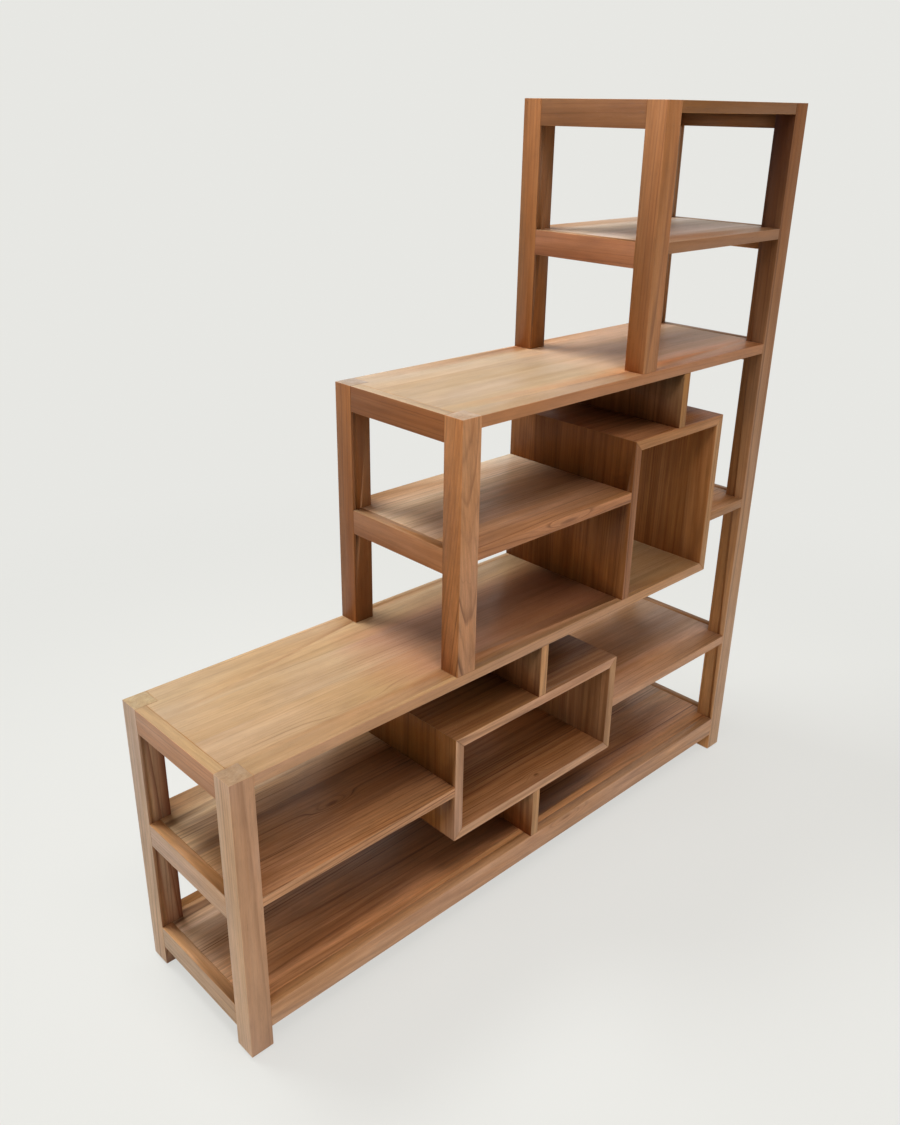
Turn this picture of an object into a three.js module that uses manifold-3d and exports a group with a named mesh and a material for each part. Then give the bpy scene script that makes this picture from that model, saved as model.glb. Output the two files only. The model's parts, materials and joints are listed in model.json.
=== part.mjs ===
// Staircase bookshelf in solid teak, in millimetres, +Z up.
// It climbs in three equal steps from the left end to the right end. Two tall end frames and two
// shorter step frames of square posts and flat rails carry the boards. A low box hangs under the
// first step's top, and a tall box stands on it under the second step's top.
import * as THREE from 'three';
import { mergeVertices } from 'three/addons/utils/BufferGeometryUtils.js';
import Module from 'manifold-3d';

const wasm = await Module();
wasm.setup();

// Steps
const stepCount = 3;
const stepRun = 500;
const stepRise = 500;
const firstTopHeight = 600;
const overallDepth = 350;

// Timber sections
const postSide = 46;
const boardThickness = 22;
const railThickness = 22;
const railHeight = 50;

// Feet, boxes and dividers
const footLift = 50;
const footChamfer = 6;
const tallBoxWidth = 320;
const dividerHeight = 118;

// Joinery
const seam = 0.2;
const tenonThickness = 8;
const tenonShoulder = 8;
const tenonEndWall = 6;
const tongueThickness = 8;
const tongueReach = 7;
const tongueStop = 15;
const stubTenonSide = 24;
const stubTenonFloor = 8;
const splineThickness = 4;
const splineReach = 7;
const bite = 2;

// Places along the length, from the outer face of the left end frame
const overallLength = stepCount * stepRun;
const secondFrameX = stepRun;
const thirdFrameX = secondFrameX + stepRun;
const lowBoxLeft = secondFrameX;
const lowBoxRight = thirdFrameX;
const tallBoxLeft = thirdFrameX;
const tallBoxRight = tallBoxLeft + tallBoxWidth;
const lowBoxMiddle = (lowBoxLeft + lowBoxRight) / 2;
const tallBoxMiddle = (tallBoxLeft + tallBoxRight) / 2;

// Heights of the upper faces. Each shelf lies half-way up the space that it divides.
const bottomShelfTop = footLift + railHeight;
const secondTopHeight = firstTopHeight + stepRise;
const thirdTopHeight = secondTopHeight + stepRise;
const lowShelfTop = (bottomShelfTop + firstTopHeight) / 2;
const middleShelfTop = (firstTopHeight + secondTopHeight) / 2;
const upperShelfTop = (secondTopHeight + thirdTopHeight) / 2;
const rightShelfTop = (lowShelfTop + secondTopHeight) / 2;
const lowBoxFloor = bottomShelfTop + dividerHeight;
const lowBoxTop = firstTopHeight - boardThickness - dividerHeight;
const tallBoxTop = secondTopHeight - boardThickness - dividerHeight;

// The end rails' tenons and the long rails' tenons pass each other inside a post.
const tenonLength = postSide - (railThickness + tenonThickness) / 2 - tenonEndWall;

const teak = {
  post: 0x96693f,
  rail: 0x8d5f3a,
  board: 0xa87c50,
  box: 0x8a6040,
  spline: 0x7a5433,
};

const pieces = new Map();

// Solids

function toManifold(geometry) {
  const plain = geometry.index ? geometry.toNonIndexed() : geometry.clone();
  plain.deleteAttribute('normal');
  plain.deleteAttribute('uv');
  const merged = mergeVertices(plain);
  return new wasm.Manifold(new wasm.Mesh({
    numProp: 3,
    vertProperties: new Float32Array(merged.attributes.position.array),
    triVerts: new Uint32Array(merged.index.array),
  }));
}

// A rectangular block between two corners, each side given as [from, to].
function block({ x, y, z }) {
  const geometry = new THREE.BoxGeometry(x[1] - x[0], y[1] - y[0], z[1] - z[0]);
  geometry.translate((x[0] + x[1]) / 2, (y[0] + y[1]) / 2, (z[0] + z[1]) / 2);
  return toManifold(geometry);
}

function extrude(outline, length, placement) {
  const shape = new THREE.Shape(outline.map(([across, along]) => new THREE.Vector2(across, along)));
  const geometry = new THREE.ExtrudeGeometry(shape, { depth: length, bevelEnabled: false });
  geometry.applyMatrix4(placement);
  return toManifold(geometry);
}

// An outline seen from above, given its thickness upwards.
function plan(outline, underside, thickness) {
  return extrude(outline, thickness, new THREE.Matrix4().makeTranslation(0, 0, underside));
}

// An outline seen from the front, run from the back edge to the front edge.
function frontProfile(outline, front, back) {
  const axes = new THREE.Matrix4().makeBasis(
    new THREE.Vector3(1, 0, 0),
    new THREE.Vector3(0, 0, 1),
    new THREE.Vector3(0, -1, 0),
  );
  return extrude(outline, back - front, axes.setPosition(0, back, 0));
}

// An outline seen from the right-hand end, run from left to right.
function endProfile(outline, left, right) {
  const axes = new THREE.Matrix4().makeBasis(
    new THREE.Vector3(0, 1, 0),
    new THREE.Vector3(0, 0, 1),
    new THREE.Vector3(1, 0, 0),
  );
  return extrude(outline, right - left, axes.setPosition(left, 0, 0));
}

const grownSide = ([from, to]) => [from - seam, to + seam];

function grown({ x, y, z }) {
  return { x: grownSide(x), y: grownSide(y), z: grownSide(z) };
}

const centred = (middle, width) => [middle - width / 2, middle + width / 2];

// Joints

function addPiece(name, solid, colour) {
  pieces.set(name, { solid, colour });
}

function cut(name, solid) {
  const piece = pieces.get(name);
  piece.solid = piece.solid.subtract(solid);
}

// One piece gets the tenon or tongue, and its mate gets the pocket, a seam wider all round.
function join(name, mate, extent) {
  const piece = pieces.get(name);
  piece.solid = piece.solid.add(block(extent));
  cut(mate, block(grown(extent)));
}

// Posts

const frontRow = { name: 'front', y: [0, postSide], inner: postSide, inward: 1 };
const backRow = {
  name: 'back',
  y: [overallDepth - postSide, overallDepth],
  inner: overallDepth - postSide,
  inward: -1,
};
const rows = [frontRow, backRow];

function footedOutline([near, far], top) {
  return [
    [near + footChamfer, 0],
    [far - footChamfer, 0],
    [far, footChamfer],
    [far, top],
    [near, top],
    [near, footChamfer],
  ];
}

// A post on the floor: its foot is chamfered on all four edges.
function floorPost(x, y, top) {
  const seenFromFront = frontProfile(footedOutline(x, top), ...y);
  return seenFromFront.intersect(endProfile(footedOutline(y, top), ...x));
}

function addFloorPosts(frame, left, top) {
  for (const row of rows) {
    addPiece(`post_${frame}_${row.name}`, floorPost([left, left + postSide], row.y, top), teak.post);
  }
}

// A post that stands on a board, with a stub tenon let into the board's upper face.
function addStandingPosts(frame, left, board, boardTop, top) {
  for (const row of rows) {
    const name = `post_${frame}_${row.name}`;
    const x = [left, left + postSide];
    addPiece(name, block({ x, y: row.y, z: [boardTop + seam, top] }), teak.post);
    join(name, board, {
      x: centred(left + postSide / 2, stubTenonSide),
      y: centred((row.y[0] + row.y[1]) / 2, stubTenonSide),
      z: [boardTop - boardThickness + stubTenonFloor, boardTop + seam + bite],
    });
  }
}

// Rails

const railZ = (top) => [top - railHeight, top];
const railTenonZ = (top) => [top - railHeight + tenonShoulder, top - tenonShoulder];

// An end rail joins the front and back posts of a frame, flush with the frame's outer face.
function addEndRail(name, frame, outerX, top) {
  const isRight = frame === 'right';
  const x = isRight ? [outerX - railThickness, outerX] : [outerX, outerX + railThickness];
  addPiece(name, block({
    x,
    y: [postSide + seam, overallDepth - postSide - seam],
    z: railZ(top),
  }), teak.rail);
  for (const { name: rowName, inner, inward } of rows) {
    const ends = [inner + inward * (seam - tenonLength), inner + inward * (seam + bite)];
    join(name, `post_${frame}_${rowName}`, {
      x: centred((x[0] + x[1]) / 2, tenonThickness),
      y: ends.sort((a, b) => a - b),
      z: railTenonZ(top),
    });
  }
}

// A long rail joins the left and right floor posts under the bottom shelf's edge.
function addLongRail({ name, y }) {
  const railY = name === 'front' ? [0, railThickness] : [y[1] - railThickness, y[1]];
  const left = postSide + seam;
  const right = overallLength - postSide - seam;
  const railName = `rail_bottom_${name}`;
  addPiece(railName, block({ x: [left, right], y: railY, z: railZ(bottomShelfTop) }), teak.rail);
  const section = {
    y: centred((railY[0] + railY[1]) / 2, tenonThickness),
    z: railTenonZ(bottomShelfTop),
  };
  join(railName, `post_left_${name}`, { x: [left - tenonLength, left + bite], ...section });
  join(railName, `post_right_${name}`, { x: [right - bite, right + tenonLength], ...section });
}

// Boards

// The plan of a board's end, from front to back, at a frame of posts or at a panel's face.
// A frame end reaches the rail and is notched round both posts.
function endPoints({ kind, x }, inward, front, back) {
  if (kind === 'panel') {
    return [[x + inward * seam, front], [x + inward * seam, back]];
  }
  const besidePost = x + inward * (postSide + seam);
  const besideRail = x + inward * (railThickness + seam);
  const notchFront = postSide + seam;
  const notchBack = overallDepth - postSide - seam;
  return [
    [besidePost, front],
    [besidePost, notchFront],
    [besideRail, notchFront],
    [besideRail, notchBack],
    [besidePost, notchBack],
    [besidePost, back],
  ];
}

function addBoard(name, left, right, top, edges = [0, overallDepth]) {
  const outline = [
    ...endPoints(right, -1, ...edges),
    ...endPoints(left, 1, ...edges).reverse(),
  ];
  addPiece(name, plan(outline, top - boardThickness, boardThickness), teak.board);
}

const tongueZ = (top) => centred(top - boardThickness / 2, tongueThickness);

// The tongue on a board's end, let into a rail along its whole length.
function tongueIntoRail(board, rail, outerX, inward, top) {
  const end = outerX + inward * (railThickness + seam);
  const reach = [end - inward * tongueReach, end + inward * bite];
  join(board, rail, {
    x: reach.sort((a, b) => a - b),
    y: [postSide + seam, overallDepth - postSide - seam],
    z: tongueZ(top),
  });
}

const stoppedY = [tongueStop, overallDepth - tongueStop];

// The tongue on a board's end, let into a panel and stopped short of the front and back edges.
function tongueIntoPanel(board, panel, panelX, inward, top) {
  const end = panelX + inward * seam;
  const reach = [end - inward * tongueReach, end + inward * bite];
  join(board, panel, { x: reach.sort((a, b) => a - b), y: stoppedY, z: tongueZ(top) });
}

// The tongues along the bottom shelf's front and back edges.
function tonguesIntoLongRails(board) {
  const x = [postSide + seam, overallLength - postSide - seam];
  const z = tongueZ(bottomShelfTop);
  const front = railThickness + seam;
  const back = overallDepth - railThickness - seam;
  join(board, 'rail_bottom_front', { x, y: [front - tongueReach, front + bite], z });
  join(board, 'rail_bottom_back', { x, y: [back - bite, back + tongueReach], z });
}

// Upright panels

// A divider stands between two boards, with a stopped tongue at each end.
function addDivider(name, middleX, under, over, z, underY = stoppedY) {
  const ends = [z[0] + seam, z[1] - seam];
  const y = [0, overallDepth];
  addPiece(name, block({ x: centred(middleX, boardThickness), y, z: ends }), teak.box);
  const x = centred(middleX, tongueThickness);
  join(name, under, { x, y: underY, z: [ends[0] - tongueReach, ends[0] + bite] });
  join(name, over, { x, y: stoppedY, z: [ends[1] - bite, ends[1] + tongueReach] });
}

// A box side, with its outer face on the left or the right and its ends mitred or square.
// The inner face is shorter by one board thickness at each mitred end.
function addSide(name, outerX, inward, z, mitred) {
  const innerX = outerX + inward * boardThickness;
  const outline = [
    [outerX, z[0]],
    [innerX, z[0] + (mitred.foot ? boardThickness : 0)],
    [innerX, z[1] - (mitred.head ? boardThickness : 0)],
    [outerX, z[1]],
  ];
  addPiece(name, frontProfile(outline, 0, overallDepth), teak.box);
}

// The top or the bottom of a box, mitred at both ends. Its outer face is the longer one.
function addBoxDeck(name, [left, right], outerZ, inward) {
  const innerZ = outerZ + inward * boardThickness;
  const outline = [
    [left + seam, outerZ],
    [right - seam, outerZ],
    [right - boardThickness - seam, innerZ],
    [left + boardThickness + seam, innerZ],
  ];
  addPiece(name, frontProfile(outline, 0, overallDepth), teak.box);
}

// A loose spline across a mitre, half of its width in each of the two pieces that meet there.
function addSpline(name, outerCorner, inward, mates) {
  const [x, z] = outerCorner;
  const length = stoppedY[1] - stoppedY[0];
  const tilt = (inward.x * inward.z * Math.PI) / 4;
  const makeStrip = (extra) => {
    const geometry = new THREE.BoxGeometry(
      splineThickness + extra,
      length + extra,
      2 * splineReach + extra,
    );
    geometry.rotateY(-tilt);
    geometry.translate(
      x + (inward.x * boardThickness) / 2,
      overallDepth / 2,
      z + (inward.z * boardThickness) / 2,
    );
    return toManifold(geometry);
  };
  addPiece(name, makeStrip(0), teak.spline);
  for (const mate of mates) {
    cut(mate, makeStrip(2 * seam));
  }
}

// The frames' posts on the floor

addFloorPosts('left', 0, firstTopHeight);
addFloorPosts('right', overallLength - postSide, thirdTopHeight);

// Boards and their tongues

const leftFrame = { kind: 'frame', x: 0, name: 'left', top: firstTopHeight };
const secondFrame = { kind: 'frame', x: secondFrameX, name: 'second', top: secondTopHeight };
const thirdFrame = { kind: 'frame', x: thirdFrameX, name: 'third', top: thirdTopHeight };
const rightFrame = { kind: 'frame', x: overallLength, name: 'right', top: thirdTopHeight };
const atPanel = (x, name) => ({ kind: 'panel', x, name });

const boards = [
  { name: 'bottom_shelf', left: leftFrame, right: rightFrame, top: bottomShelfTop },
  { name: 'low_shelf_left', left: leftFrame, right: atPanel(lowBoxLeft, 'low_box_left'), top: lowShelfTop },
  {
    name: 'low_shelf_right',
    left: atPanel(lowBoxRight, 'low_box_right'),
    right: rightFrame,
    top: lowShelfTop,
  },
  { name: 'first_step_top', left: leftFrame, right: atPanel(tallBoxRight), top: firstTopHeight },
  {
    name: 'middle_shelf_left',
    left: secondFrame,
    right: atPanel(tallBoxLeft, 'tall_box_left'),
    top: middleShelfTop,
  },
  {
    name: 'middle_shelf_right',
    left: atPanel(tallBoxRight, 'tall_box_right'),
    right: rightFrame,
    top: rightShelfTop,
  },
  { name: 'second_step_top', left: secondFrame, right: rightFrame, top: secondTopHeight },
  { name: 'upper_shelf', left: thirdFrame, right: rightFrame, top: upperShelfTop },
  { name: 'third_step_top', left: thirdFrame, right: rightFrame, top: thirdTopHeight },
];

const bottomShelfEdges = [railThickness + seam, overallDepth - railThickness - seam];

for (const { name, left, right, top } of boards) {
  addBoard(name, left, right, top, name === 'bottom_shelf' ? bottomShelfEdges : undefined);
}

// The first top's right-hand end is the tall box's lower corner, so it is mitred there.
cut('first_step_top', frontProfile([
  [tallBoxRight - boardThickness - bite - seam, firstTopHeight + bite],
  [tallBoxRight + boardThickness - seam, firstTopHeight - 2 * boardThickness],
  [tallBoxRight + boardThickness - seam, firstTopHeight + bite],
], -bite, overallDepth + bite));

addStandingPosts('second', secondFrameX, 'first_step_top', firstTopHeight, secondTopHeight);
addStandingPosts('third', thirdFrameX, 'second_step_top', secondTopHeight, thirdTopHeight);

// The boxes' panels

addSide('low_box_left', lowBoxLeft, 1, [lowBoxFloor, lowBoxTop], { foot: true, head: true });
addSide('low_box_right', lowBoxRight, -1, [lowBoxFloor, lowBoxTop], { foot: true, head: true });
addBoxDeck('low_box_top', [lowBoxLeft, lowBoxRight], lowBoxTop, -1);
addBoxDeck('low_box_bottom', [lowBoxLeft, lowBoxRight], lowBoxFloor, 1);

addSide('tall_box_left', tallBoxLeft, 1, [firstTopHeight + seam, tallBoxTop], { foot: false, head: true });
addSide(
  'tall_box_right',
  tallBoxRight,
  -1,
  [firstTopHeight - boardThickness, tallBoxTop],
  { foot: true, head: true },
);
addBoxDeck('tall_box_top', [tallBoxLeft, tallBoxRight], tallBoxTop, -1);
join('tall_box_left', 'first_step_top', {
  x: centred(tallBoxLeft + boardThickness / 2, tongueThickness),
  y: stoppedY,
  z: [firstTopHeight + seam - tongueReach, firstTopHeight + seam + bite],
});

// Rails, each flush with the board that it carries

for (const { name, left, right, top } of boards) {
  for (const [end, inward] of [[left, 1], [right, -1]]) {
    if (end.kind === 'frame') {
      const level = end.top === top ? 'top' : name.split('_')[0];
      const rail = `rail_${end.name}_${level}`;
      addEndRail(rail, end.name, end.x, top);
      tongueIntoRail(name, rail, end.x, inward, top);
    } else if (end.name) {
      tongueIntoPanel(name, end.name, end.x, inward, top);
    }
  }
}

for (const row of rows) {
  addLongRail(row);
}
tonguesIntoLongRails('bottom_shelf');

// Dividers

addDivider(
  'divider_under_low_box',
  lowBoxMiddle,
  'bottom_shelf',
  'low_box_bottom',
  [bottomShelfTop, lowBoxFloor],
  [bottomShelfEdges[0] + tongueStop, bottomShelfEdges[1] - tongueStop],
);
addDivider(
  'divider_over_low_box',
  lowBoxMiddle,
  'low_box_top',
  'first_step_top',
  [lowBoxTop, firstTopHeight - boardThickness],
);
addDivider(
  'divider_over_tall_box',
  tallBoxMiddle,
  'tall_box_top',
  'second_step_top',
  [tallBoxTop, secondTopHeight - boardThickness],
);

// Splines across the boxes' mitres

const corners = [
  { box: 'low_box', corner: 'top_left', x: lowBoxLeft, z: lowBoxTop, deck: 'low_box_top' },
  { box: 'low_box', corner: 'top_right', x: lowBoxRight, z: lowBoxTop, deck: 'low_box_top' },
  { box: 'low_box', corner: 'bottom_left', x: lowBoxLeft, z: lowBoxFloor, deck: 'low_box_bottom' },
  { box: 'low_box', corner: 'bottom_right', x: lowBoxRight, z: lowBoxFloor, deck: 'low_box_bottom' },
  { box: 'tall_box', corner: 'top_left', x: tallBoxLeft, z: tallBoxTop, deck: 'tall_box_top' },
  { box: 'tall_box', corner: 'top_right', x: tallBoxRight, z: tallBoxTop, deck: 'tall_box_top' },
  {
    box: 'tall_box',
    corner: 'bottom_right',
    x: tallBoxRight,
    z: firstTopHeight - boardThickness,
    deck: 'first_step_top',
  },
];

for (const { box, corner, x, z, deck } of corners) {
  const [level, hand] = corner.split('_');
  const inward = { x: hand === 'left' ? 1 : -1, z: level === 'bottom' ? 1 : -1 };
  addSpline(`spline_${box}_${corner}`, [x, z], inward, [deck, `${box}_${hand}`]);
}

// Assembly, with the origin on the floor under the middle

const bookshelf = new THREE.Group();
bookshelf.position.set(-overallLength / 2, -overallDepth / 2, 0);

for (const [name, { solid, colour }] of pieces) {
  const { vertProperties, triVerts } = solid.getMesh();
  const geometry = new THREE.BufferGeometry();
  geometry.setAttribute('position', new THREE.BufferAttribute(vertProperties, 3));
  geometry.setIndex(new THREE.BufferAttribute(triVerts, 1));
  geometry.computeVertexNormals();
  const material = new THREE.MeshStandardMaterial({ color: colour, roughness: 0.55, metalness: 0 });
  const mesh = new THREE.Mesh(geometry, material);
  mesh.name = name;
  bookshelf.add(mesh);
}

export default bookshelf;
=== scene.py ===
import json
import math

import bmesh
import bpy
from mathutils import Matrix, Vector
from mathutils.bvhtree import BVHTree


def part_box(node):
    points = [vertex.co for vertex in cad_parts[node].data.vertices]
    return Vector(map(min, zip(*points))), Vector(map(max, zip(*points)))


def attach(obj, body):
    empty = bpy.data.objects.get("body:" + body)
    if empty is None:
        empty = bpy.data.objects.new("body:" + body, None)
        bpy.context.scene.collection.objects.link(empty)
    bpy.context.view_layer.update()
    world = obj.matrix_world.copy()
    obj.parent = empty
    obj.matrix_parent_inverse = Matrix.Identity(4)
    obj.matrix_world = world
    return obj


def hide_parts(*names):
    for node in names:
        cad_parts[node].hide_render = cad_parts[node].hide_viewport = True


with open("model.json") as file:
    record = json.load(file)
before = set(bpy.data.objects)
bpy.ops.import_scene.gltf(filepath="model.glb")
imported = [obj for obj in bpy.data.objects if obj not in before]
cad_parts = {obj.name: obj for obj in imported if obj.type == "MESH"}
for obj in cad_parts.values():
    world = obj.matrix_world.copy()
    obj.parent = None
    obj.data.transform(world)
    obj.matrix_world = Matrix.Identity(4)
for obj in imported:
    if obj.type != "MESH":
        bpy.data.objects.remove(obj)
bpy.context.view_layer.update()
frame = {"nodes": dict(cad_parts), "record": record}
print("bookshelf: frame loaded,", len(frame["nodes"]), "pieces of teak")

# Camera, at the photograph's viewing angle. The lens is for the 36 mm long side of the picture.

cameraView = {
    "place": (-1.42791, -1.37053, 1.58432),
    "turn": (66.0219, -0.8768, -43.5716),
    "lens": 32.8937,
}


def placeCamera(view):
    data = bpy.data.cameras.new("camera")
    data.lens = view["lens"]
    camera = bpy.data.objects.new("camera", data)
    camera.location = view["place"]
    camera.rotation_euler = [math.radians(angle) for angle in view["turn"]]
    bpy.context.scene.collection.objects.link(camera)
    bpy.context.scene.camera = camera


placeCamera(cameraView)
print("bookshelf: camera placed")

# Small helpers for node trees


class Wires:
    def __init__(self, tree):
        self.tree = tree

    def add(self, kind, **settings):
        node = self.tree.nodes.new(kind)
        for key, value in settings.items():
            setattr(node, key, value)
        return node

    def feed(self, socket, value):
        if isinstance(value, bpy.types.NodeSocket):
            self.tree.links.new(value, socket)
        else:
            socket.default_value = value

    def math(self, operation, *values):
        node = self.add("ShaderNodeMath", operation=operation)
        for socket, value in zip(node.inputs, values):
            self.feed(socket, value)
        return node.outputs[0]

    def vector(self, operation, *values):
        node = self.add("ShaderNodeVectorMath", operation=operation)
        scalar = operation in ("DOT_PRODUCT", "LENGTH")
        for socket, value in zip(node.inputs, values):
            self.feed(socket, value)
        return node.outputs["Value" if scalar else "Vector"]

    def scaled(self, vector, factor):
        node = self.add("ShaderNodeVectorMath", operation="SCALE")
        self.feed(node.inputs[0], vector)
        self.feed(node.inputs["Scale"], factor)
        return node.outputs["Vector"]

    def product(self, level, *others):
        for other in others:
            level = self.math("MULTIPLY", level, other)
        return level

    def parts(self, vector):
        node = self.add("ShaderNodeSeparateXYZ")
        self.feed(node.inputs[0], vector)
        return node.outputs

    # Turns 0 to 1 into a level that varies by this amount round 1
    def around(self, value, amount):
        return self.math("MULTIPLY_ADD", value, amount, 1 - amount / 2)

    # Turns 0 to 1 into a level that falls, or rises, from 1 by this amount
    def less(self, value, amount):
        return self.math("MULTIPLY_ADD", value, -amount, 1.0)

    def more(self, value, amount):
        return self.math("MULTIPLY_ADD", value, amount, 1.0)


class ShaderWires(Wires):
    def attribute(self, key, output="Fac"):
        return self.add("ShaderNodeAttribute", attribute_name=key).outputs[output]

    # The waves are how often the noise changes per metre along the log and across it, its detail
    # and its roughness.
    def noise(self, place, waves, output="Fac"):
        along, across, detail, roughness = waves
        node = self.add("ShaderNodeTexNoise", noise_dimensions="3D")
        self.feed(node.inputs["Vector"], self.vector("MULTIPLY", place, (along, across, across)))
        node.inputs["Scale"].default_value = 1.0
        node.inputs["Detail"].default_value = detail
        node.inputs["Roughness"].default_value = roughness
        return node.outputs[output]

    def ramp(self, value, stops):
        node = self.add("ShaderNodeValToRGB")
        while len(node.color_ramp.elements) < len(stops):
            node.color_ramp.elements.new(0.5)
        for element, (place, level) in zip(node.color_ramp.elements, stops):
            element.position = place
            element.color = (level, level, level, 1)
        self.feed(node.inputs[0], value)
        return node.outputs[0]

    def mixed(self, factor, under, over):
        node = self.add("ShaderNodeMix", data_type="RGBA", blend_type="MIX")
        self.feed(node.inputs["Factor"], factor)
        self.feed(node.inputs[6], under)
        self.feed(node.inputs[7], over)
        return node.outputs[2]

    # 1 for what the camera sees, straight or by way of gloss or glass
    def seen(self):
        path = self.add("ShaderNodeLightPath").outputs
        direct = self.math("MAXIMUM", path["Is Camera Ray"], path["Is Glossy Ray"])
        return self.math("MAXIMUM", direct, path["Is Transmission Ray"])


# Materials

# Each finish has a pale ground, a deeper streak and a dark ring line, and how strongly each shows.
# Its streak width is in metres.
teakFinishes = {
    "post_teak": {
        "pale": (0.492, 0.228, 0.084), "deep": (0.384, 0.156, 0.049),
        "line": (0.158, 0.056, 0.017),
        "streaks": 0.75, "lines": 0.80, "streakWidth": 0.018, "tones": 0.16, "shine": 0.22,
    },
    "rail_teak": {
        "pale": (0.483, 0.224, 0.083), "deep": (0.374, 0.153, 0.048),
        "line": (0.158, 0.056, 0.017),
        "streaks": 0.70, "lines": 0.50, "streakWidth": 0.018, "tones": 0.16, "shine": 0.22,
    },
    "board_teak": {
        "pale": (0.502, 0.236, 0.089), "deep": (0.404, 0.17, 0.055),
        "line": (0.177, 0.065, 0.02),
        "streaks": 0.80, "lines": 0.85, "streakWidth": 0.022, "tones": 0.18, "shine": 0.20,
    },
    "panel_teak": {
        "pale": (0.414, 0.188, 0.064), "deep": (0.227, 0.084, 0.024),
        "line": (0.099, 0.032, 0.008),
        "streaks": 0.75, "lines": 0.80, "streakWidth": 0.012, "tones": 0.24, "shine": 0.10,
    },
}
teakFinishes["spline_teak"] = teakFinishes["rail_teak"]

teakGrain = {
    "ringGap": 0.0072,         # metres from one growth ring to the next
    "ringWander": 0.014,       # metres that the rings stray from true circles
    "ringUnevenness": 2.2,     # rings that come early or late
    "lineLuck": 1.5,           # how rare the darkest ring lines are
    "mottle": 0.40,            # how strongly mottle, clouds, fibres and pores show
    "cloud": 0.22,
    "fibres": 0.62,
    "pores": 0.25,
    "endDarkening": 0.14,      # how much darker end grain is
    "endFading": 0.7,          # how much fainter the rings are on end grain
    "paintedArrisHighlight": 0.08,         # how much lighter the eased edges are: a painted highlight, with some wear
    "gold": (0.99, 0.93, 0.76),  # what the slow golden patches do to the colour
    "patches": 0.75,           # how strongly they show
    "knotSwell": 0.020,        # metres that the rings bulge round a knot
    "knotDark": 0.75,          # how dark its core is
    "innerWander": 0.5,        # how much the edge of the painted shelter shade strays
    "poreDepth": 1.2,          # beside the height of the fibres
    "bumpHeight": 0.00025,
    "bumpStrength": 0.6,
    "gloss": (0.36, 0.54),     # the lowest and the highest roughness
}

# Along the log, across it, detail and roughness, as noise takes them
teakWaves = {
    "wander": (1.3, 7.0, 2.0, 0.5),
    "uneven": (0.4, 26.0, 1.0, 0.5),
    "fade": (2.2, 14.0, 1.0, 0.5),
    "cloud": (2.5, 9.0, 2.0, 0.5),
    "mottle": (11.0, 34.0, 3.0, 0.6),
    "fibre": (9.0, 190.0, 4.0, 0.7),
    "pore": (50.0, 1700.0, 1.0, 0.5),
    "patch": (2.6, 9.0, 3.0, 0.5),
}
streakWaves = {"along": 2.4, "detail": 3.0, "roughness": 0.55}

# How strong each feature is at places from 0 to 1 on its noise, ring or distance
teakRamps = {
    "ring": ((0.0, 0.3), (0.06, 0.0), (0.60, 0.06), (0.90, 1.0), (1.0, 0.3)),
    "fade": ((0.38, 0.35), (0.62, 1.0)),
    "knot": ((0.0, 1.0), (0.05, 0.85), (0.16, 0.0)),
    "streak": ((0.34, 0.0), (0.66, 1.0)),
    "pore": ((0.62, 0.0), (0.74, 1.0)),
    "patch": ((0.40, 0.0), (0.60, 1.0)),
    "inner": ((0.62, 1.0), (1.0, 0.0)),
}


# A slow wander of the grain, so that rings and streaks aren't true circles and straight lines
def bentGrain(wires, log, grain):
    strayed = wires.noise(log, teakWaves["wander"], "Color")
    strayed = wires.vector("SUBTRACT", strayed, (0.5, 0.5, 0.5))
    return wires.vector("ADD", log, wires.scaled(strayed, grain["ringWander"]))


# The rings go by the distance from the log's heart. Each is pale where it starts and ends in a
# thin dark line, and some lines are much darker than others. The grain swells round a knot, and
# the knot itself is dark.
def ringLines(wires, log, bent, depth, grain):
    knot = wires.attribute("knotPlace", "Vector")
    fromKnot = wires.vector("DOT_PRODUCT", knot, knot)
    swell = wires.math("POWER", math.e, wires.math("MULTIPLY", fromKnot, -1.0))
    fromHeart = wires.vector("LENGTH", wires.vector("MULTIPLY", bent, (0.0, 1.0, 1.0)))
    fromHeart = wires.math("MULTIPLY_ADD", swell, grain["knotSwell"], fromHeart)
    uneven = wires.noise(bent, teakWaves["uneven"])
    rings = wires.math("DIVIDE", fromHeart, grain["ringGap"])
    rings = wires.math("MULTIPLY_ADD", uneven, grain["ringUnevenness"], rings)
    luck = wires.add("ShaderNodeTexWhiteNoise", noise_dimensions="1D")
    wires.feed(luck.inputs["W"], wires.math("FLOOR", rings))
    lineLuck = wires.math("POWER", luck.outputs["Value"], grain["lineLuck"])
    line = wires.ramp(wires.math("FRACT", rings), teakRamps["ring"])
    fade = wires.ramp(wires.noise(log, teakWaves["fade"]), teakRamps["fade"])
    sideways = wires.less(wires.attribute("endGrain"), grain["endFading"])
    strength = wires.product(wires.attribute("figure"), depth, sideways)
    lines = wires.math("MULTIPLY", wires.product(line, lineLuck), wires.product(fade, strength))
    core = wires.math("MULTIPLY", wires.ramp(fromKnot, teakRamps["knot"]), grain["knotDark"])
    return wires.math("MAXIMUM", lines, core)


# How light the wood is beside its colour
def woodShade(wires, log, cloud, fibre, pores, tones, grain):
    fibres = wires.math("MULTIPLY", wires.attribute("figure"), grain["fibres"])
    return wires.product(
        wires.around(wires.attribute("staveTone"), tones),
        wires.around(cloud, grain["cloud"]),
        wires.around(wires.noise(log, teakWaves["mottle"]), grain["mottle"]),
        wires.more(wires.math("SUBTRACT", fibre, 0.5), fibres),
        wires.less(pores, grain["pores"]),
        wires.less(wires.attribute("endGrain"), grain["endDarkening"]),
        # painted highlight, with some wear, on the eased edges
        wires.more(wires.attribute("arris"), grain["paintedArrisHighlight"]),
    )


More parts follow.
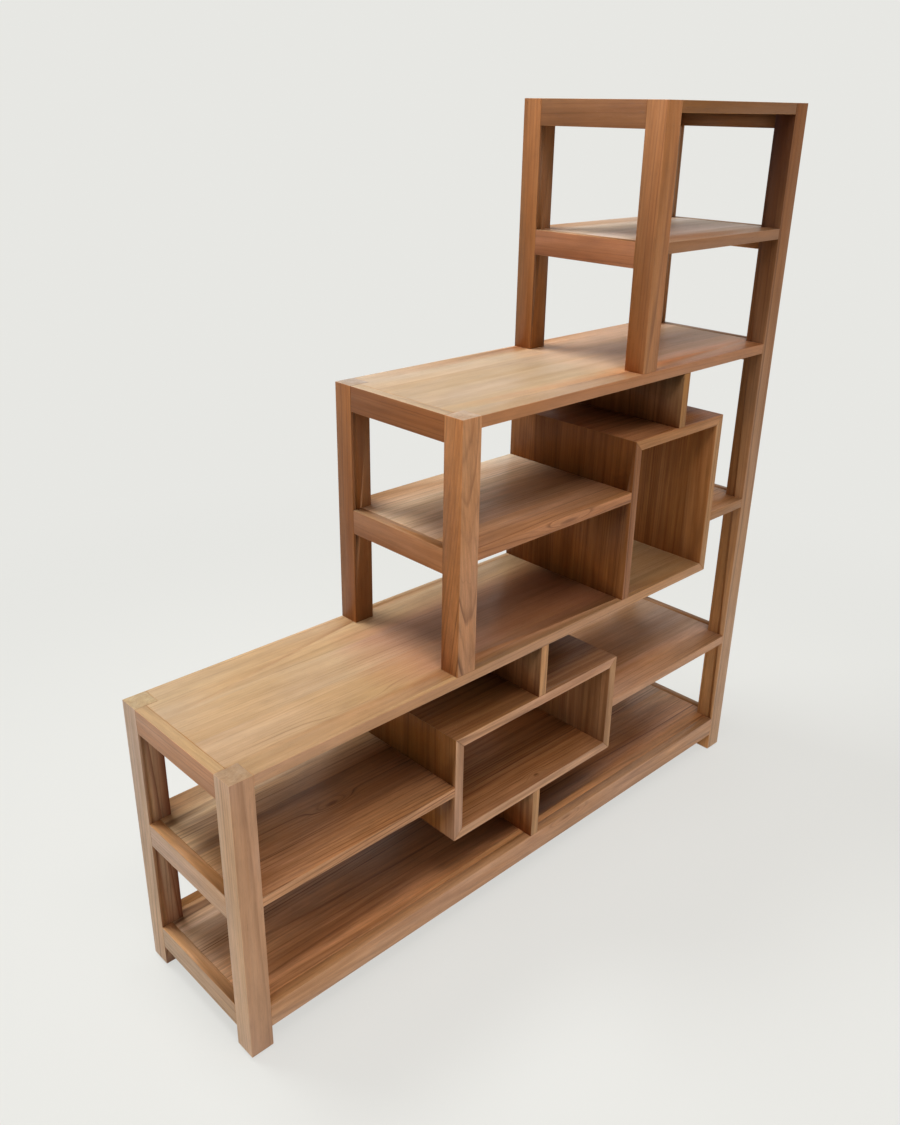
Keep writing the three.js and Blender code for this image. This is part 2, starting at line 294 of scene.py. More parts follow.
def withGoldenPatches(wires, log, colour, grain):
    patch = wires.ramp(wires.noise(log, teakWaves["patch"]), teakRamps["patch"])
    golden = wires.vector("MULTIPLY", colour, grain["gold"])
    return wires.mixed(wires.math("MULTIPLY", patch, grain["patches"]), colour, golden)


# Painted shade on the part of a board that its neighbours keep out of the light; where its factor
# is above 1, as on the second step top, it is painted light.
def withPaintedShelterLight(wires, cloud, colour, grain):
    place = wires.attribute("innerPlace", "Vector")
    inner = wires.parts(wires.vector("ABSOLUTE", place))
    wander = grain["innerWander"]
    reach = wires.math("MAXIMUM", inner[0], inner[1])
    reach = wires.math("ADD", reach, wires.math("MULTIPLY_ADD", cloud, wander, -wander / 2))
    paintedShelterColour = wires.vector("MULTIPLY", colour, wires.attribute("innerPaintedLight", "Vector"))
    return wires.mixed(wires.ramp(reach, teakRamps["inner"]), colour, paintedShelterColour)


def teakMaterial(name, finish, grain):
    material = bpy.data.materials.new(name)
    material.use_nodes = True
    wires = ShaderWires(material.node_tree)
    shader = material.node_tree.nodes["Principled BSDF"].inputs
    log = wires.attribute("logPlace", "Vector")
    bent = bentGrain(wires, log, grain)

    # Streaks, fibres and pores, all drawn out along the log
    across = 1 / finish["streakWidth"]
    waves = (streakWaves["along"], across, streakWaves["detail"], streakWaves["roughness"])
    broad = wires.noise(bent, waves)
    evenFigure = wires.math("MINIMUM", wires.attribute("figure"), 1.0)
    streaks = wires.ramp(broad, teakRamps["streak"])
    streaks = wires.product(streaks, finish["streaks"], evenFigure)
    cloud = wires.noise(log, teakWaves["cloud"])
    fibre = wires.noise(log, teakWaves["fibre"])
    pores = wires.ramp(wires.noise(log, teakWaves["pore"]), teakRamps["pore"])

    colour = wires.mixed(streaks, (*finish["pale"], 1), (*finish["deep"], 1))
    lines = ringLines(wires, log, bent, finish["lines"], grain)
    colour = wires.mixed(lines, colour, (*finish["line"], 1))
    shade = woodShade(wires, log, cloud, fibre, pores, finish["tones"], grain)
    colour = wires.scaled(colour, shade)
    # Painted light and shade, by the way each face looks and by its height
    colour = wires.vector("MULTIPLY", colour, wires.attribute("paintedLight", "Vector"))
    colour = withGoldenPatches(wires, log, colour, grain)
    colour = withPaintedShelterLight(wires, cloud, colour, grain)
    wires.feed(shader["Base Color"], colour)

    smooth, rough = grain["gloss"]
    wires.feed(shader["Roughness"], wires.math("MULTIPLY_ADD", broad, rough - smooth, smooth))
    shader["Specular IOR Level"].default_value = finish["shine"]
    bump = wires.add("ShaderNodeBump")
    bump.inputs["Distance"].default_value = grain["bumpHeight"]
    bump.inputs["Strength"].default_value = grain["bumpStrength"]
    wires.feed(bump.inputs["Height"], wires.math("MULTIPLY_ADD", pores, -grain["poreDepth"], fibre))
    wires.feed(shader["Normal"], bump.outputs["Normal"])
    return material


teak = {slot: teakMaterial(slot, finish, teakGrain) for slot, finish in teakFinishes.items()}
print("bookshelf: teak finishes mixed")

# How each stave was sawn from its log, as a Geometry Nodes tree. It writes where every corner of a
# face lay in the log, how dark its stave is, which faces are end grain, and the painted light and
# shade of the piece: on each side, at the foot and in deep shelter.

sawing = {
    "nearestHeart": 0.02,    # metres from the log's heart to a stave's middle
    "farthestHeart": 0.16,
    "slope": 0.022,          # how much the grain runs out of true along a stave
    "turn": 0.0,             # radians round the log to the stave's middle, and how far that varies
    "turnSpread": math.pi,
    "figure": 1.0,           # how strongly lines and fibres show
    "knot": (0.0, 0.0, -9.0),  # under the floor, where it shows on nothing
    "knotSize": (0.05, 0.016, 0.03),
    "inner": (0.0, 0.0, 0.0),
    "innerReach": (1.0, 1.0, 1.0),
    "innerPaintedLight": (1.0, 1.0, 1.0),
    "paintedFootShade": 0.35,
    "footReach": 0.004,      # metres above the floor up to which a foot is darkened by painted shade
    "reach": 1.6,            # metres from the floor to the top step
    "halfDepth": 0.175,
    "logLength": 40.0,       # metres of log that the staves' starts are spread over
    "seedStep": 17,          # from one piece's random numbers to the next piece's
}

# The tree's inputs that come from sawing, or from a piece's own choice
sawInputs = {
    "Nearest Heart": "nearestHeart",
    "Farthest Heart": "farthestHeart",
    "Slope": "slope",
    "Turn": "turn",
    "Turn Spread": "turnSpread",
    "Figure": "figure",
    "Knot": "knot",
    "Knot Size": "knotSize",
    "Inner": "inner",
    "Inner Reach": "innerReach",
    "Inner Painted Light": "innerPaintedLight",
    "Painted Foot Shade": "paintedFootShade",
}

sides = ("Up", "Front", "Left", "Other")
plain = (1.0, 1.0, 1.0)


class SawingWires(Wires):
    def __init__(self, tree, sizes):
        super().__init__(tree)
        self.sizes = sizes
        self.source = self.add("NodeGroupInput").outputs
        self.geometry = self.source["Geometry"]
        self.stave = self.attribute("stave", "INT")
        self.draws = 0

    def attribute(self, key, kind):
        node = self.add("GeometryNodeInputNamedAttribute", data_type=kind)
        node.inputs["Name"].default_value = key
        return node.outputs[0]

    # A random number for each stave, and a new one at each call
    def draw(self, low, high):
        self.draws += 1
        seed = self.math(
            "MULTIPLY_ADD", self.source["Seed"], float(self.sizes["seedStep"]), float(self.draws)
        )
        node = self.add("FunctionNodeRandomValue", data_type="FLOAT")
        self.feed(node.inputs[2], low)
        self.feed(node.inputs[3], high)
        self.feed(node.inputs["ID"], self.stave)
        self.feed(node.inputs["Seed"], seed)
        return node.outputs[1]

    def blend(self, factor, start, end):
        node = self.add("ShaderNodeMix", data_type="VECTOR")
        self.feed(node.inputs["Factor"], factor)
        self.feed(node.inputs[4], start)
        self.feed(node.inputs[5], end)
        return node.outputs[1]

    def store(self, key, kind, domain, value):
        node = self.add("GeometryNodeStoreNamedAttribute", data_type=kind, domain=domain)
        node.inputs["Name"].default_value = key
        self.feed(node.inputs["Geometry"], self.geometry)
        self.feed(node.inputs["Value"], value)
        self.geometry = node.outputs[0]


def addSockets(tree, sizes):
    def addInput(label, kind, value=None):
        socket = tree.interface.new_socket(
            name=label, in_out="INPUT", socket_type=f"NodeSocket{kind}"
        )
        if value is not None:
            socket.default_value = value

    addInput("Geometry", "Geometry")
    addInput("Grain Along", "Vector", (1.0, 0.0, 0.0))
    addInput("Grain Across", "Vector", (0.0, 1.0, 0.0))
    for label, key in sawInputs.items():
        addInput(label, "Vector" if isinstance(sizes[key], tuple) else "Float", sizes[key])
    for side in sides:
        addInput(f"{side} Tone Start", "Vector", plain)
        addInput(f"{side} Tone End", "Vector", plain)
    addInput("Seed", "Int", 1)
    addInput("Material", "Material")
    tree.interface.new_socket(
        name="Geometry", in_out="OUTPUT", socket_type="NodeSocketGeometry"
    )


# Where each corner lay in the log: along it, and across it from its heart
def logPlace(wires, place):
    source = wires.source
    along, across = source["Grain Along"], source["Grain Across"]
    upright = wires.vector("CROSS_PRODUCT", along, across)
    offset = wires.vector("SUBTRACT", place, wires.attribute("staveMiddle", "FLOAT_VECTOR"))
    run = wires.vector("DOT_PRODUCT", offset, along)
    turn = wires.math(
        "MULTIPLY_ADD", wires.draw(-1.0, 1.0), source["Turn Spread"], source["Turn"]
    )
    heart = wires.draw(source["Nearest Heart"], source["Farthest Heart"])
    start = wires.draw(0.0, wires.sizes["logLength"])

    def fromHeart(direction, trig):
        reach = wires.math("MULTIPLY", heart, wires.math(trig, turn))
        lean = wires.product(run, wires.draw(-1.0, 1.0), source["Slope"])
        flat = wires.vector("DOT_PRODUCT", offset, direction)
        return wires.math("ADD", wires.math("ADD", flat, reach), lean)

    log = wires.add("ShaderNodeCombineXYZ")
    wires.feed(log.inputs[0], wires.math("ADD", run, start))
    wires.feed(log.inputs[1], fromHeart(across, "COSINE"))
    wires.feed(log.inputs[2], fromHeart(upright, "SINE"))
    return log.outputs[0]


# The painted light and shade of each corner, from the way that its face looks and from where it
# lies. Faces that look up change from front to back, and the others from the floor to the top step.
# A foot also gets painted shade where it stands on the floor.
def cornerPaintedLight(wires, place, looks):
    source, sizes = wires.source, wires.sizes
    _, y, z = wires.parts(place)
    rise = wires.math("DIVIDE", z, sizes["reach"])
    depth = wires.math("ADD", y, sizes["halfDepth"])
    depth = wires.math("DIVIDE", depth, 2 * sizes["halfDepth"])
    paintedLight = wires.blend(rise, source["Other Tone Start"], source["Other Tone End"])
    for side, look in looks.items():
        along = depth if side == "Up" else rise
        own = wires.blend(along, source[f"{side} Tone Start"], source[f"{side} Tone End"])
        paintedLight = wires.blend(wires.math("POWER", look, 2.0), paintedLight, own)
    # Painted shade on a foot where it stands on the floor
    onFloor = wires.math("LESS_THAN", z, sizes["footReach"])
    paintedFootShade = wires.math("MULTIPLY", source["Painted Foot Shade"], -1.0)
    return wires.scaled(paintedLight, wires.more(onFloor, paintedFootShade))


def sawingTree(sizes):
    tree = bpy.data.node_groups.new("staves from logs", "GeometryNodeTree")
    addSockets(tree, sizes)
    wires = SawingWires(tree, sizes)
    source = wires.source
    place = wires.add("GeometryNodeInputPosition").outputs[0]
    normal = wires.add("GeometryNodeInputNormal").outputs[0]
    x, y, z = wires.parts(normal)
    looks = {
        "Up": wires.math("MAXIMUM", z, 0.0),
        "Front": wires.math("MAXIMUM", wires.math("MULTIPLY", y, -1.0), 0.0),
        "Left": wires.math("MAXIMUM", wires.math("MULTIPLY", x, -1.0), 0.0),
    }
    endGrain = wires.vector("DOT_PRODUCT", normal, source["Grain Along"])
    fromKnot = wires.vector("SUBTRACT", place, source["Knot"])
    fromInner = wires.vector("SUBTRACT", place, source["Inner"])
    log = logPlace(wires, place)

    wires.store("logPlace", "FLOAT_VECTOR", "CORNER", log)
    wires.store("staveTone", "FLOAT", "FACE", wires.draw(0.0, 1.0))
    wires.store("endGrain", "FLOAT", "FACE", wires.math("ABSOLUTE", endGrain))
    arris = wires.add("GeometryNodeInputMaterialIndex").outputs[0]
    wires.store("arris", "FLOAT", "FACE", arris)
    wires.store("figure", "FLOAT", "FACE", source["Figure"])
    knotPlace = wires.vector("DIVIDE", fromKnot, source["Knot Size"])
    wires.store("knotPlace", "FLOAT_VECTOR", "CORNER", knotPlace)
    wires.store("paintedLight", "FLOAT_VECTOR", "CORNER", cornerPaintedLight(wires, place, looks))
    innerPlace = wires.vector("DIVIDE", fromInner, source["Inner Reach"])
    wires.store("innerPlace", "FLOAT_VECTOR", "CORNER", innerPlace)
    innerPaintedLight = wires.blend(looks["Up"], plain, source["Inner Painted Light"])
    wires.store("innerPaintedLight", "FLOAT_VECTOR", "FACE", innerPaintedLight)

    realize = wires.add("GeometryNodeRealizeInstances")
    wires.feed(realize.inputs[0], wires.geometry)
    finish = wires.add("GeometryNodeSetMaterial")
    wires.feed(finish.inputs["Geometry"], realize.outputs[0])
    wires.feed(finish.inputs["Material"], source["Material"])
    wires.feed(wires.add("NodeGroupOutput").inputs[0], finish.outputs[0])
    return tree


staveTree = sawingTree(sawing)
staveInputs = {
    item.name: item.identifier
    for item in staveTree.interface.items_tree
    if item.in_out == "INPUT"
}

# Staves: where the glue lines run across each wide piece, in metres from its front edge

glueLines = {
    "bottom_shelf": (0.092, 0.181, 0.262),
    "low_shelf_left": (0.078, 0.166, 0.259),
    "low_shelf_right": (0.085, 0.172, 0.266),
    "first_step_top": (0.052, 0.140, 0.238),
    "middle_shelf_left": (0.088, 0.170, 0.262),
    "middle_shelf_right": (0.095, 0.176, 0.270),
    "second_step_top": (0.081, 0.175, 0.254),
    "upper_shelf": (0.090, 0.184, 0.268),
    "third_step_top": (0.084, 0.168, 0.262),
    "low_box_left": (0.061, 0.148, 0.213, 0.285),
    "low_box_right": (0.074, 0.139, 0.226, 0.291),
    "low_box_top": (0.090, 0.178, 0.266),
    "low_box_bottom": (0.083, 0.171, 0.259),
    "tall_box_left": (0.067, 0.131, 0.204, 0.278),
    "tall_box_right": (0.059, 0.142, 0.215, 0.282),
    "tall_box_top": (0.088, 0.176, 0.262),
    "divider_under_low_box": (0.118, 0.236),
    "divider_over_low_box": (0.112, 0.229),
    "divider_over_tall_box": (0.121, 0.240),
}

grainAxes = {
    "upright": ((0, 0, 1), (1, 0, 0)),
    "lengthwise": ((1, 0, 0), (0, 1, 0)),
    "crosswise": ((0, 1, 0), (1, 0, 0)),
}


# The grain stands in posts, dividers and box sides. It runs from front to back in splines and in
# the rails of the upright frames, and from left to right in boards and the long bottom rails.
def grainOf(name):
    kind = name.split("_")[0]
    if kind in ("post", "divider") or name.endswith(("box_left", "box_right")):
        return "upright"
    if kind == "spline" or (kind == "rail" and not name.startswith("rail_bottom")):
        return "crosswise"
    return "lengthwise"


# Painted light and shade on the teak of each piece, as factors for the faces that look up, forward,
# left and elsewhere: they stand in for the sheen, light and shade that fall on each face. A pair
# runs from the front edge to the back on faces that look up, and from the floor to the top step on
# the others. What isn't named gets the painted sheen where it looks up, and is plain elsewhere.
# Painted sheen for faces that look up: paler and yellower than the teak, for the light reflected
# off them
paintedUpSheen = (0.84, 1.27, 2.10)
# Painted sheen for the faces of the left end's pieces, paler and greyer for the light reflected off
# them
paintedPaleSheen = (1.25, 1.60, 2.30)

paintedFaceLight = {
    "post_left_front": {
        "Up": (0.80, 1.15, 1.90), "Front": (1.01, 1.28, 2.27), "Left": (1.32, 1.87, 3.50),
        "Other": paintedPaleSheen,
    },
    "post_left_back": {
        "Up": (1.06, 1.70, 2.70), "Front": (0.28, 0.11, 0.06), "Left": (1.32, 1.98, 4.00),
        "Other": paintedPaleSheen,
    },
    "rail_left_top": {"Up": (0.92, 1.32, 1.85), "Left": (1.24, 1.35, 2.00), "Other": paintedPaleSheen},
    "rail_left_low": {"Up": (2.00, 2.45, 3.30), "Left": (1.28, 1.82, 3.65), "Other": paintedPaleSheen},
    "rail_left_bottom": {"Up": (2.00, 2.45, 3.30), "Left": (1.08, 1.53, 2.75), "Other": paintedPaleSheen},
    "post_second_front": {
        "Up": (0.92, 1.50, 3.30), "Front": (1.12, 1.24, 1.78), "Left": (1.12, 1.03, 1.11),
    },
    "post_second_back": {
        "Up": (0.99, 1.70, 3.80), "Front": (0.39, 0.24, 0.07), "Left": (0.93, 0.78, 0.70),
    },
    "rail_second_top": {"Up": (1.02, 1.72, 3.40), "Left": (0.74, 0.59, 0.54)},
    "rail_second_middle": {"Left": (0.86, 0.80, 0.95)},
    "post_third_front": {"Front": (0.92, 0.83, 0.77), "Left": (0.96, 0.88, 0.96)},
    "post_third_back": {
        "Front": ((0.01, 0.01, 0.01), (0.61, 0.59, 0.66)), "Left": (1.01, 0.89, 0.87),
    },
    "rail_third_top": {"Left": (0.64, 0.61, 0.78)},
    "rail_third_upper": {"Left": (0.93, 0.81, 1.08)},
    "post_right_front": {
        "Front": ((1.43, 2.00, 3.60), (0.58, 0.44, 0.20)),
        "Left": ((1.66, 1.88, 2.12), (0.08, 0.01, 0.01)),
    },
    "post_right_back": {"Front": (0.92, 0.97, 1.12), "Left": (0.95, 0.95, 1.10)},
    "rail_right_top": {"Left": (0.08, 0.05, 0.07)},
    "rail_bottom_front": {"Up": (1.30, 1.70, 2.40), "Front": (1.22, 1.53, 2.55)},
    "bottom_shelf": {
        "Up": ((1.84, 1.91, 2.25), (1.82, 3.15, 6.60)), "Front": (1.20, 1.35, 1.75),
    },
    "low_shelf_left": {
        "Up": ((1.06, 1.00, 0.98), (1.82, 3.15, 5.90)), "Front": (1.21, 1.38, 2.00),
    },
    "low_shelf_right": {
        "Up": ((1.33, 1.98, 4.00), (0.74, 0.84, 1.22)), "Front": (1.15, 1.36, 2.20),
    },
    "first_step_top": {
        "Up": ((0.78, 1.04, 1.40), (1.02, 1.60, 2.75)), "Front": (1.15, 1.40, 2.20),
    },
    "middle_shelf_left": {
        "Up": ((1.05, 1.18, 1.62), (1.66, 3.02, 6.60)), "Front": (0.95, 0.93, 1.22),
    },
    "middle_shelf_right": {"Up": (1.03, 1.44, 2.60), "Front": (0.75, 0.80, 0.95)},
    "second_step_top": {
        "Up": ((0.77, 1.24, 2.32), (0.88, 1.44, 2.75)), "Front": (0.90, 0.86, 1.05),
    },
    "upper_shelf": {"Up": (1.32, 2.28, 5.20), "Front": (0.75, 0.79, 1.07)},
    "third_step_top": {"Up": (0.78, 1.20, 2.10), "Front": (0.50, 0.46, 0.40)},
    "low_box_top": {"Up": (0.76, 0.82, 0.97), "Front": (1.52, 1.95, 3.70)},
    "low_box_bottom": {"Up": (1.03, 1.07, 1.32), "Front": (1.55, 2.10, 4.20)},
    "low_box_left": {
        "Left": (0.72, 0.64, 0.48), "Front": (1.43, 1.92, 3.90), "Other": (0.85, 0.80, 0.75),
    },
    "low_box_right": {"Left": (0.85, 0.90, 1.20), "Front": (1.50, 2.00, 3.40)},
    "tall_box_left": {
        "Left": ((1.48, 1.24, 1.02), (0.01, 0.01, 0.01)),
        "Front": ((1.98, 2.04, 2.98), (0.01, 0.01, 0.01)),
        "Other": (0.85, 0.75, 0.70),
    },
    "tall_box_right": {"Left": (1.00, 0.95, 0.98), "Front": (1.30, 1.68, 2.70)},
    "tall_box_top": {"Up": (1.15, 1.22, 1.88), "Front": (1.34, 1.50, 2.10)},
    # The near-black factors on faces deep inside are painted shade, standing in for the shade
    # between the boards
    "divider_under_low_box": {
        "Left": (0.56, 0.32, 0.20), "Front": (1.50, 2.00, 3.30), "Other": (0.75, 0.65, 0.58),
    },
    "divider_over_low_box": {
        "Left": (0.20, 0.08, 0.04), "Front": (1.46, 1.82, 2.80), "Other": (0.75, 0.65, 0.58),
    },
    "divider_over_tall_box": {
        "Left": (0.22, 0.09, 0.04), "Front": (1.46, 1.77, 2.20), "Other": (0.75, 0.65, 0.58),
    },
}

# Where boards lie in deep shelter, in metres, and the painted shade that darkens them there; on the
# second step top it is painted light, which lightens it.
paintedShelterLight = {
    "bottom_shelf": {
        "inner": (0.0, -0.01, 0), "innerReach": (0.90, 0.14, 1),
        "innerPaintedLight": (0.45, 0.38, 0.32),
    },
    "low_shelf_left": {
        "inner": (-0.47, -0.01, 0), "innerReach": (0.30, 0.14, 1),
        "innerPaintedLight": (0.62, 0.56, 0.52),
    },
    "first_step_top": {
        "inner": (-0.02, -0.02, 0), "innerReach": (0.35, 0.15, 1),
        "innerPaintedLight": (0.94, 0.74, 0.78),
    },
    "second_step_top": {
        "inner": (0.58, 0.0, 0), "innerReach": (0.42, 0.5, 1), "innerPaintedLight": (1.42, 1.17, 1.06),
    },
    "low_box_top": {
        "inner": (-0.10, 0.08, 0), "innerReach": (0.60, 0.16, 1),
        "innerPaintedLight": (0.62, 0.62, 0.66),
    },
    "tall_box_top": {
        "inner": (0.40, 0.08, 0), "innerReach": (0.60, 0.16, 1),
        "innerPaintedLight": (0.62, 0.56, 0.52),
    },
}

# The log that a piece came from, and the knots in it
logChoice = {
    "post_second_front": {
        "turn": -1.45, "turnSpread": 0.05, "nearestHeart": 0.055, "farthestHeart": 0.06,
        "slope": 0.09, "figure": 1.5,
    },
    "post_third_front": {
        "turn": -1.2, "turnSpread": 0.1, "nearestHeart": 0.08, "farthestHeart": 0.1,
        "slope": 0.04,
    },
    "first_step_top": {
        "knot": (-0.45, -0.118, 0.615), "knotSize": (0.09, 0.014, 0.03), "figure": 0.65,
    },
    "second_step_top": {"figure": 0.42},
    "upper_shelf": {"figure": 0.4},
    "third_step_top": {"figure": 0.5},
    "low_shelf_left": {
        "knot": (-0.46, -0.05, 0.35), "knotSize": (0.045, 0.013, 0.03), "figure": 2.1,
    },
    "middle_shelf_left": {
        "knot": (0.05, -0.175, 0.84), "knotSize": (0.08, 0.02, 0.011), "figure": 1.3,
    },
    "low_box_bottom": {
        "knot": (0.02, -0.153, 0.24), "knotSize": (0.022, 0.010, 0.02), "figure": 1.4,
    },
    "rail_bottom_front": {
        "knot": (0.11, -0.172, 0.09), "knotSize": (0.06, 0.014, 0.012), "figure": 1.2,
    },
    "bottom_shelf": {"figure": 2.1},
    "post_left_front": {"figure": 0.8},
    "low_shelf_right": {"figure": 0.9},
}


# The painted light and shade for each side of a piece, as start and end factors
def paintedLightOf(name):
    tones = {}
    for side in sides:
        paintedLight = paintedFaceLight.get(name, {}).get(side, paintedUpSheen if side == "Up" else plain)
        start, end = paintedLight if isinstance(paintedLight[0], tuple) else (paintedLight, paintedLight)
        tones[f"{side} Tone Start"], tones[f"{side} Tone End"] = start, end
    return tones


# Pieces, each a copy of its solid with eased edges

easing = {
    "arris": 0.0008,         # metres taken off an edge in view
    "foot": 0.004,           # metres taken off the edges on the floor
    "cover": 0.0015,         # an edge is hidden where another piece is within this reach
    "floor": 0.0015,         # an edge below this height is on the floor
    "sharp": 30,             # degrees from which an edge is eased
    "steps": 2,
    "shares": (0.1, 0.3, 0.5, 0.7, 0.9),  # along an edge, where its cover is tested
}
cleaning = {"weld": 0.00001, "flat": 0.4}  # metres and degrees

slotOf = {row["node"]: row["material_slot"] for row in frame["record"]["subparts"]}


def weldedCopy(node):
    solid = bmesh.new()
    solid.from_mesh(node.data)
    bmesh.ops.remove_doubles(solid, verts=solid.verts, dist=cleaning["weld"])
    bmesh.ops.dissolve_limit(
        solid,
        angle_limit=math.radians(cleaning["flat"]),
        verts=solid.verts,
        edges=solid.edges,
        use_dissolve_boundaries=False,
    )
    bmesh.ops.recalc_face_normals(solid, faces=solid.faces)
    return solid


welded = {name: weldedCopy(node) for name, node in frame["nodes"].items()}
shells = {name: BVHTree.FromBMesh(solid) for name, solid in welded.items()}
boxes = {name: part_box(name) for name in frame["nodes"]}


def covered(point, owner):
    for name, (low, high) in boxes.items():
        if name == owner or any(point[i] < low[i] or point[i] > high[i] for i in range(3)):
            continue
        nearest, normal, _, _ = shells[name].find_nearest(point)
        if (point - nearest).dot(normal) < 0:
            return True
    return False


def easedEdge(edge, owner):
    if len(edge.link_faces) != 2 or not edge.is_convex:
        return False
    if edge.calc_face_angle(0) < math.radians(easing["sharp"]):
        return False
    first, last = (vert.co for vert in edge.verts)
    normals = [face.normal for face in edge.link_faces]
    points = [first.lerp(last, share) for share in easing["shares"]]
    hidden = sum(
        any(covered(point + normal * easing["cover"], owner) for normal in normals)
        for point in points
    )
    return hidden < len(points) / 2


def weighEdges(solid, name):
    weight = solid.edges.layers.float.new("bevel_weight_edge")
    for edge in solid.edges:
        onFloor = all(vert.co.z < easing["floor"] for vert in edge.verts)
        share = 1.0 if onFloor else easing["arris"] / easing["foot"]
        edge[weight] = share if onFloor or easedEdge(edge, name) else 0.0


# Cuts a piece along its glue lines and marks each stave with its number and its middle
def sawStaves(solid, name):
    lines = [line - sawing["halfDepth"] for line in glueLines.get(name, ())]
    for line in lines:
        bmesh.ops.bisect_plane(
            solid,
            geom=[*solid.verts, *solid.edges, *solid.faces],
            plane_co=(0, line, 0),
            plane_no=(0, 1, 0),
        )
    stave = solid.faces.layers.int.new("stave")
    middle = solid.faces.layers.float_vector.new("staveMiddle")
    low, high = boxes[name]
    edges = [low.y, *lines, high.y]
    for face in solid.faces:
        depth = face.calc_center_median().y
        face[stave] = sum(depth > line for line in lines)
        between = edges[face[stave]:face[stave] + 2]
        face[middle] = Vector(((low.x + high.x) / 2, sum(between) / 2, (low.z + high.z) / 2))


# The bevel puts the faces that it makes in the second slot, which marks them for the painted
# highlight on eased edges.
def easeEdges(blank):
    bevel = blank.modifiers.new("arrises", "BEVEL")
    bevel.limit_method = "WEIGHT"
    bevel.width = easing["foot"]
    bevel.segments = easing["steps"]
    bevel.use_clamp_overlap = False
    bevel.harden_normals = True
    bevel.material = 1


def sawFromLog(blank, name, seed):
    staves = blank.modifiers.new("staves", "NODES")
    staves.node_group = staveTree
    along, across = grainAxes[grainOf(name)]
    sawn = {**sawing, **logChoice.get(name, {}), **paintedShelterLight.get(name, {})}
    values = {
        "Grain Along": along,
        "Grain Across": across,
        **{label: sawn[key] for label, key in sawInputs.items()},
        **paintedLightOf(name),
        "Seed": seed,
        "Material": teak[slotOf[name]],
    }
    for label, value in values.items():
        staves[staveInputs[label]] = value


def makePiece(name, seed):
    solid = welded[name]
    weighEdges(solid, name)
    sawStaves(solid, name)
    draft = bpy.data.meshes.new("draft")
    solid.to_mesh(draft)
    for _ in range(2):
        draft.materials.append(teak[slotOf[name]])
    blank = bpy.data.objects.new("draft", draft)
    bpy.context.scene.collection.objects.link(blank)
    draft.shade_smooth()
    easeEdges(blank)
    sawFromLog(blank, name, seed)
    drawn = bpy.context.evaluated_depsgraph_get()
    mesh = bpy.data.meshes.new_from_object(
        blank.evaluated_get(drawn), preserve_all_data_layers=True, depsgraph=drawn
    )
    bpy.data.objects.remove(blank)
    bpy.data.meshes.remove(draft)
    mesh.name = f"teak_{name}"
    piece = bpy.data.objects.new(f"teak_{name}", mesh)
    bpy.context.scene.collection.objects.link(piece)
    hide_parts(name)
    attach(piece, "root")


for seed, name in enumerate(sorted(frame["nodes"]), start=1):
    makePiece(name, seed)
print("bookshelf: pieces sawn, eased and finished")

# Floor, backdrop and soft lamps

room = {
    "pale": (0.80, 0.80, 0.77),
    "floorSize": 60.0,
    "shadowShare": 0.24,        # how much of the shadow shows near the bookshelf
    "shadowReach": (1.0, 2.6),  # metres from the middle, from where it fades to where it ends
    "ambient": 0.48,
}

lamps = {
    "frontLamp": {
        "place": (-0.6, -2.1, 5.2), "aim": (0.0, -0.1, 0.5), "size": (2.2, 1.2),
        "power": 14, "colour": (1.0, 0.86, 0.82), "spread": 80,
    },
    "backLamp": {
        "place": (-1.0, 2.1, 5.2), "aim": (0.0, 0.1, 0.5), "size": (2.2, 1.4),
        "power": 40, "colour": (0.95, 1.0, 1.0), "spread": 80,
    },
    "topLamp": {
        "place": (-0.3, 0.0, 5.6), "aim": (0.0, 0.0, 0.6), "size": (0.9, 0.9),
        "power": 8, "colour": (1.0, 1.0, 1.0), "spread": 75,
    },
    "leftFill": {
        "place": (-3.3, -1.5, 0.8), "aim": (-0.4, 0.0, 0.4), "size": (2.0, 1.4),
        "power": 4, "colour": (1.0, 1.0, 1.0), "spread": 160,
    },
    "frontFill": {
        "place": (-0.3, -3.8, 0.8), "aim": (0.0, 0.0, 0.4), "size": (2.4, 1.0),
        "power": 12, "colour": (1.0, 1.0, 1.0), "spread": 160,
    },
}


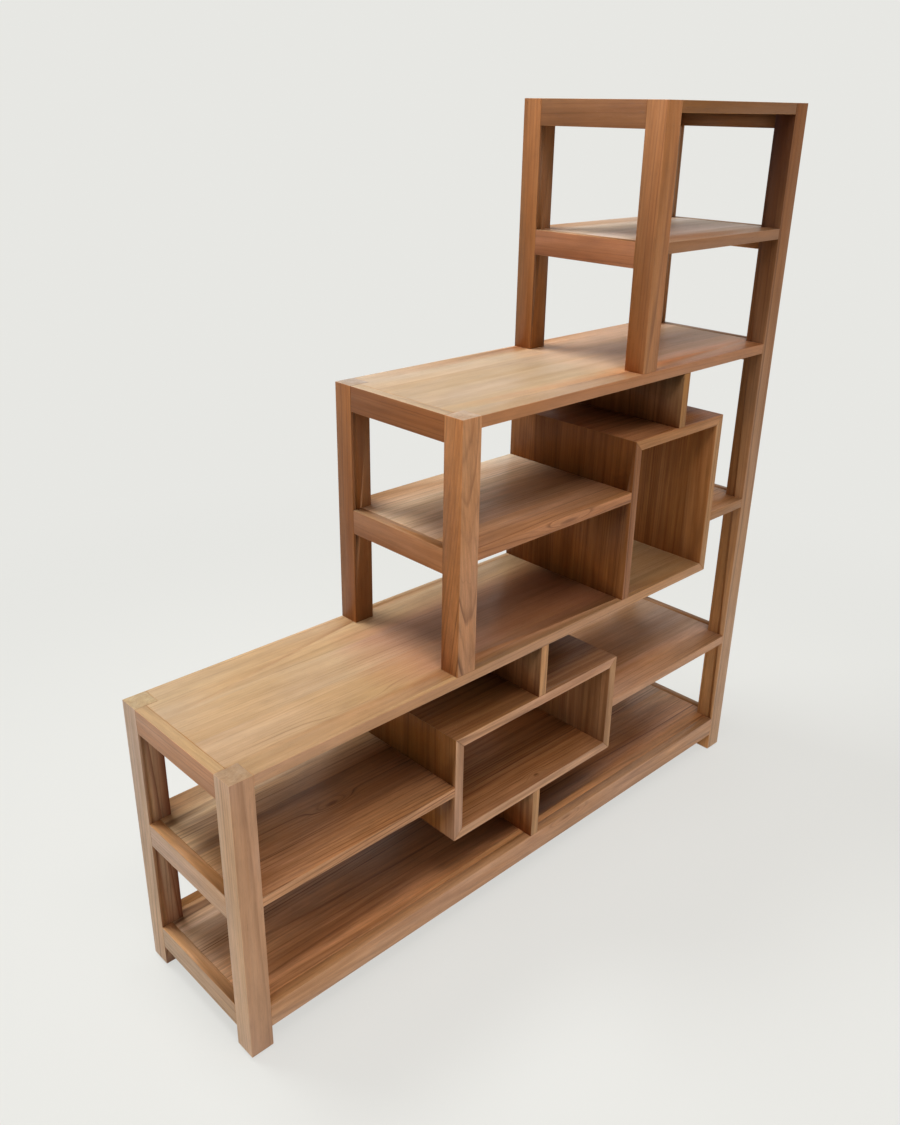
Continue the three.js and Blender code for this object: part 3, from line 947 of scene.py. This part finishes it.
# The floor shows its own pale colour, mixed with the shadow near the bookshelf.
def floorMaterial(settings):
    material = bpy.data.materials.new("pale floor")
    material.use_nodes = True
    nodes = material.node_tree.nodes
    nodes.remove(nodes["Principled BSDF"])
    wires = ShaderWires(material.node_tree)
    matt = wires.add("ShaderNodeBsdfDiffuse")
    matt.inputs["Color"].default_value = (*settings["pale"], 1)
    glow = wires.add("ShaderNodeEmission")
    glow.inputs["Color"].default_value = (*settings["pale"], 1)
    place = wires.add("ShaderNodeTexCoord").outputs["Object"]
    start, end = settings["shadowReach"]
    reach = wires.add("ShaderNodeMapRange", interpolation_type="SMOOTHSTEP")
    wires.feed(reach.inputs["Value"], wires.vector("LENGTH", place))
    reach.inputs["From Min"].default_value = start
    reach.inputs["From Max"].default_value = end
    reach.inputs["To Min"].default_value = 1 - settings["shadowShare"]
    reach.inputs["To Max"].default_value = 1.0
    mix = wires.add("ShaderNodeMixShader")
    wires.feed(mix.inputs[0], wires.math("MULTIPLY", reach.outputs["Result"], wires.seen()))
    wires.feed(mix.inputs[1], matt.outputs[0])
    wires.feed(mix.inputs[2], glow.outputs[0])
    wires.feed(nodes["Material Output"].inputs["Surface"], mix.outputs[0])
    return material


def makeFloor(settings):
    half = settings["floorSize"] / 2
    corners = [(-half, -half, 0), (half, -half, 0), (half, half, 0), (-half, half, 0)]
    mesh = bpy.data.meshes.new("floor")
    mesh.from_pydata(corners, [], [(0, 1, 2, 3)])
    mesh.materials.append(floorMaterial(settings))
    floor = bpy.data.objects.new("floor", mesh)
    bpy.context.scene.collection.objects.link(floor)


# The backdrop is at full strength for the camera, and lights the bookshelf at the ambient level.
def makeWorld(settings):
    world = bpy.data.worlds.new("studio")
    world.use_nodes = True
    bpy.context.scene.world = world
    wires = ShaderWires(world.node_tree)
    background = world.node_tree.nodes["Background"].inputs
    background["Color"].default_value = (*settings["pale"], 1)
    ambient = settings["ambient"]
    strength = wires.math("MULTIPLY_ADD", wires.seen(), 1 - ambient, ambient)
    wires.feed(background["Strength"], strength)


def makeLamp(name, lamp):
    data = bpy.data.lights.new(name, "AREA")
    data.shape = "RECTANGLE"
    data.size, data.size_y = lamp["size"]
    data.energy = lamp["power"]
    data.color = lamp["colour"]
    data.spread = math.radians(lamp["spread"])
    holder = bpy.data.objects.new(name, data)
    holder.location = lamp["place"]
    holder.visible_camera = False
    aim = Vector(lamp["aim"]) - Vector(lamp["place"])
    holder.rotation_euler = aim.to_track_quat("-Z", "Y").to_euler()
    bpy.context.scene.collection.objects.link(holder)


makeFloor(room)
makeWorld(room)
for name, lamp in lamps.items():
    makeLamp(name, lamp)
bpy.context.scene.view_settings.view_transform = "Standard"
print("bookshelf: floor, backdrop and lamps set")
